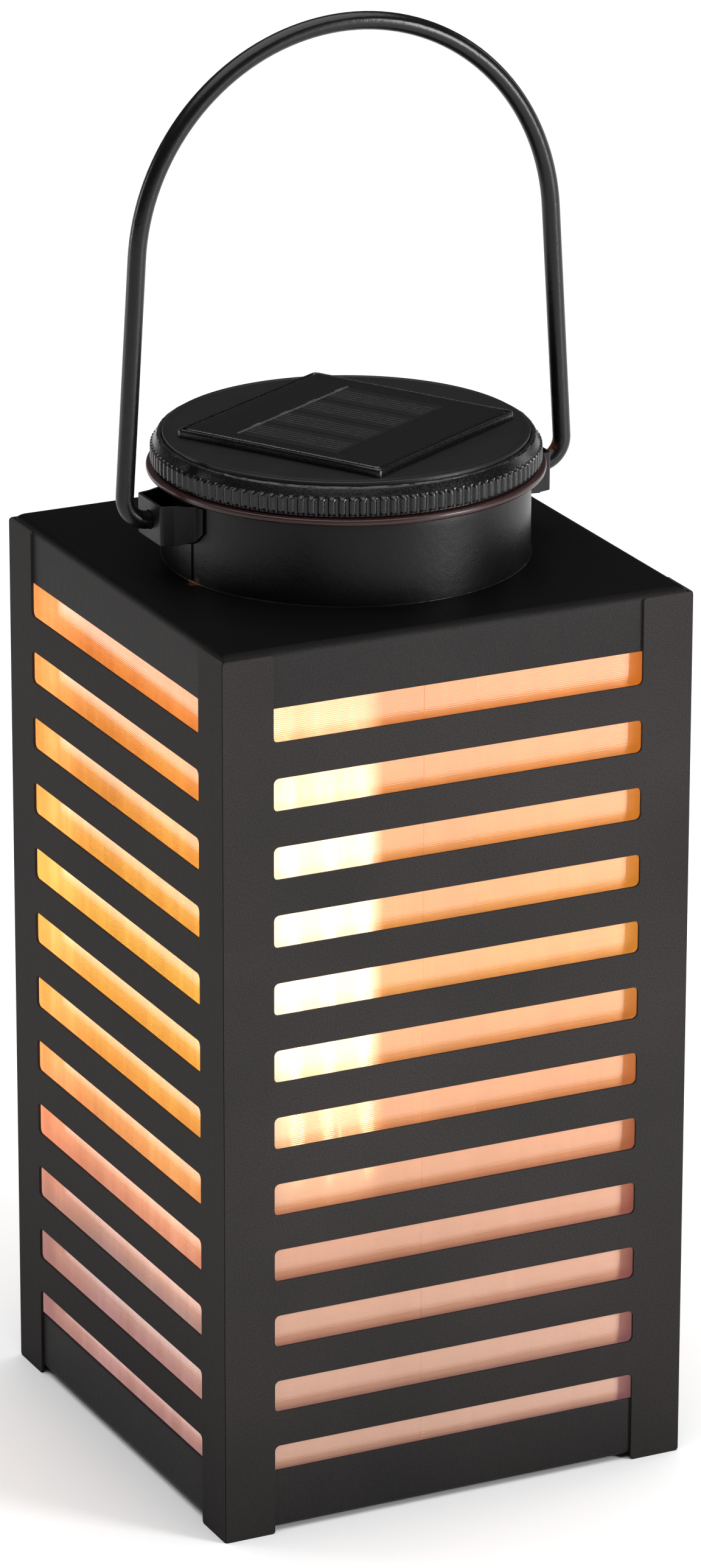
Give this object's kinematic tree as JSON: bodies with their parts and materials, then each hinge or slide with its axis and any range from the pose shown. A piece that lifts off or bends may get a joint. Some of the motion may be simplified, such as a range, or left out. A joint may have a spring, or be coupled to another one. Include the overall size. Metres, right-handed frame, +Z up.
{
  "type": "solar lantern",
  "caption": "Square slotted sheet-metal lantern with a film behind the slots, a lift-out solar lamp unit in a round collar and a swinging wire handle.",
  "frame": {"origin": "middle of the base, on the surface the lantern stands on", "axes": "+Z up; the front face looks along -Y; the handle's axis runs along X"},
  "size_m": [0.14, 0.14, 0.4049],
  "materials": {
    "black_sheet": "matte black powder coat with a fine grain",
    "black_cap": "matte black powder coat with a fine grain",
    "black_collar": "matte black powder coat on rolled sheet",
    "black_wire": "satin black powder coat on drawn wire",
    "weld_bead": "small welds, some with a little rust",
    "diffuser_film": "ribbed translucent film, warm when lit",
    "clear_cup": "translucent plastic with a faint pink tint",
    "black_grip": "textured black plastic",
    "black_disc": "fine-grained black plastic",
    "sealant": "uneven glossy bead of glue",
    "seal_rubber": "soft black seal",
    "solar_board": "black carrier board",
    "solar_cell": "dark silicon",
    "silver_line": "printed silver",
    "clear_coat": "clear cast resin, slightly domed",
    "lead_red": "insulated wire",
    "white_holder": "moulded bulb socket",
    "brass_shell": "rolled screw shell",
    "bulb_glass": "clear warm-tinted glass",
    "stem_glass": "clear pressed glass",
    "filament": "lit filament",
    "steel_wire": "bright wire",
    "battery_wrap": "plastic sleeve on a round cell",
    "contact_steel": "plated spring steel",
    "black_door": "textured black plastic",
    "screw_steel": "zinc-plated steel",
    "board_green": "solder-masked circuit board",
    "board_black": "moulded electronic parts",
    "switch_case": "pressed switch case",
    "knob_white": "switch knob"
  },
  "bodies": {
    "housing": {"panel_front": "black_sheet", "panel_right": "black_sheet", "panel_back": "black_sheet", "panel_left": "black_sheet", "top_cap": "black_cap", "base_pan": "black_cap", "diffuser_sleeve": "diffuser_film", "collar": "black_collar", "collar_weld": "weld_bead", "ear_left": "black_collar", "ear_right": "black_collar"},
    "handle": {"handle": "black_wire"},
    "lamp_unit": {"lamp_cup": "clear_cup", "lid_seal": "seal_rubber", "bulb_holder": "white_holder", "bulb_cap": "brass_shell", "bulb_glass": "bulb_glass", "filament_stem": "stem_glass", "filaments": "filament", "filament_wires": "steel_wire", "bulb_leads": "lead_red", "battery": "battery_wrap", "battery_cradle": "black_door", "battery_spring": "contact_steel", "battery_plate": "contact_steel", "battery_door": "black_door", "door_screws": "screw_steel", "circuit_board": "board_green", "board_parts": "board_black", "switch_body": "switch_case"},
    "lid": {"screw_ring": "black_grip", "cap_disc": "black_disc", "disc_sealant": "sealant", "solar_board": "solar_board", "solar_cells": "solar_cell", "solar_grid": "silver_line", "solar_coat": "clear_coat", "panel_leads": "lead_red"},
    "switch": {"switch_knob": "knob_white"}
  },
  "joints": [
    {"name": "handle_swing", "type": "hinge", "parent": "housing", "child": "handle", "pos_m": [0, 0, 0.2715], "axis": [1, 0, 0], "range_deg": [-100, 100]},
    {"name": "lamp_lift", "type": "slide", "parent": "housing", "child": "lamp_unit", "axis": [0, 0, 1], "range_m": [0, 0.078]},
    {"name": "lid_turn", "type": "hinge", "parent": "lamp_unit", "child": "lid", "pos_m": [0, 0, 0.285], "axis": [0, 0, 1], "range_deg": [0, 60]},
    {"name": "switch_slide", "type": "slide", "parent": "lamp_unit", "child": "switch", "axis": [1, 0, 0], "range_m": [-0.004, 0]}
  ]
}
